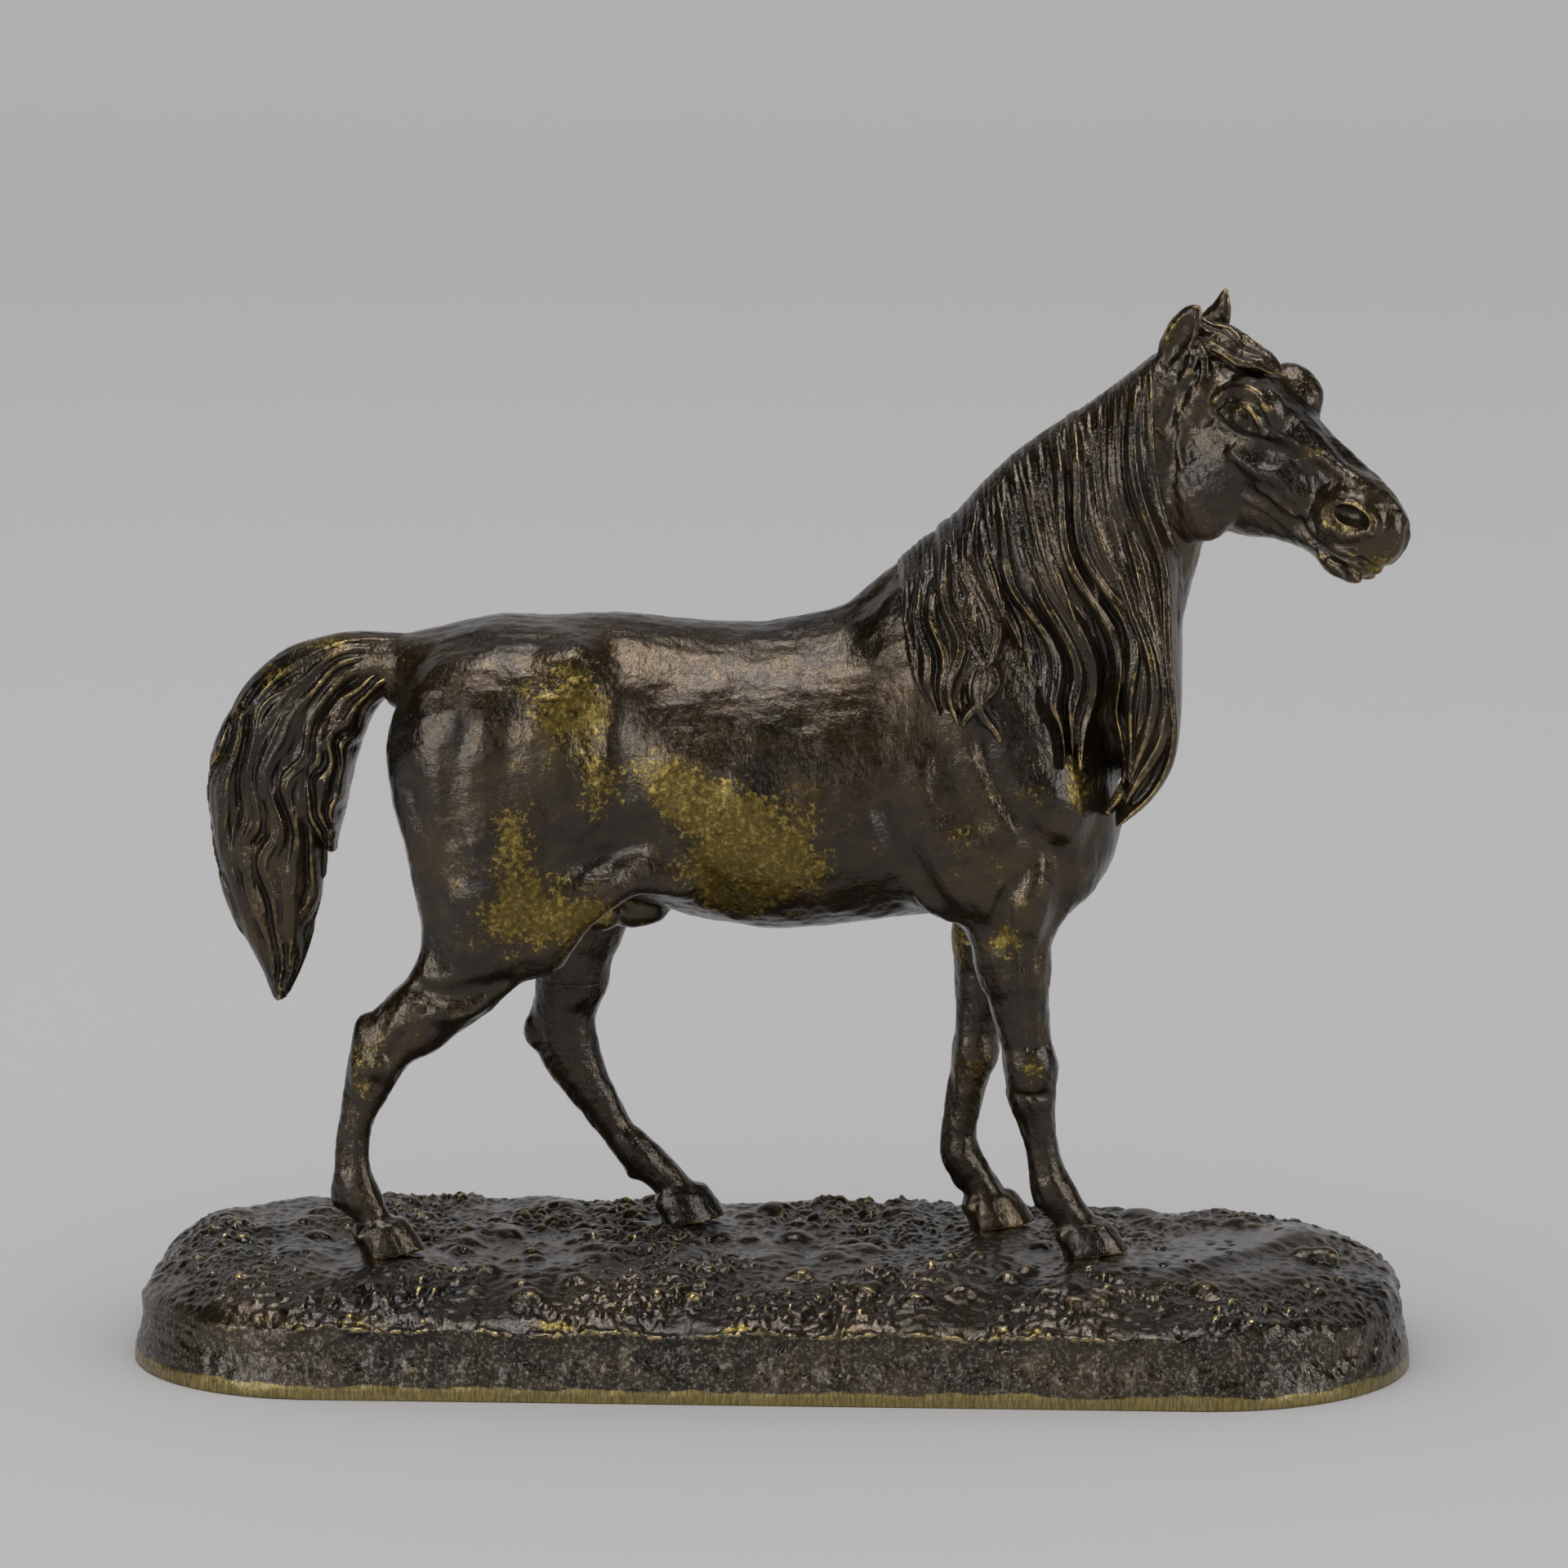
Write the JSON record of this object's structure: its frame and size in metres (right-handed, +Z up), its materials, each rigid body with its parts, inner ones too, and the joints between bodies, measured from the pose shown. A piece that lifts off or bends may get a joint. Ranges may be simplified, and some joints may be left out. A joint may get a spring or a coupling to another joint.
{
  "type": "horse statuette",
  "caption": "Bronze statuette of a standing horse with a long mane and a raised tail, head turned to its right, on a low rough ground base with rounded ends.",
  "frame": {"origin": "middle of the base's foot, on the surface that it stands on", "axes": "+X the way the horse faces, +Y the horse's left, +Z up"},
  "size_m": [0.16, 0.06, 0.1333],
  "materials": {
    "horse_bronze": "dark brown patinated bronze with golden-green mottling, waxed gloss, rubbed bare on the high edges",
    "base_bronze": "dark brown patinated bronze, pitted wall, golden rubbed rim and a bare filed band at the foot",
    "pin_bronze": "bronze rod, chased flush and patinated with the castings",
    "fastener_steel": "dull, slightly darkened steel"
  },
  "bodies": {
    "root": {"base_casting": "base_bronze", "body_casting": "horse_bronze", "head_and_neck_casting": "horse_bronze", "tail_casting": "horse_bronze", "right_fore_leg_casting": "horse_bronze", "left_fore_leg_casting": "horse_bronze", "right_hind_leg_casting": "horse_bronze", "left_hind_leg_casting": "horse_bronze", "neck_joint_pin": "pin_bronze", "tail_joint_pin": "pin_bronze", "leg_joint_pins": "pin_bronze", "core_pin_plugs": "pin_bronze", "hoof_studs": "fastener_steel", "base_washers": "fastener_steel", "base_nuts": "fastener_steel"}
  },
  "joints": []
}
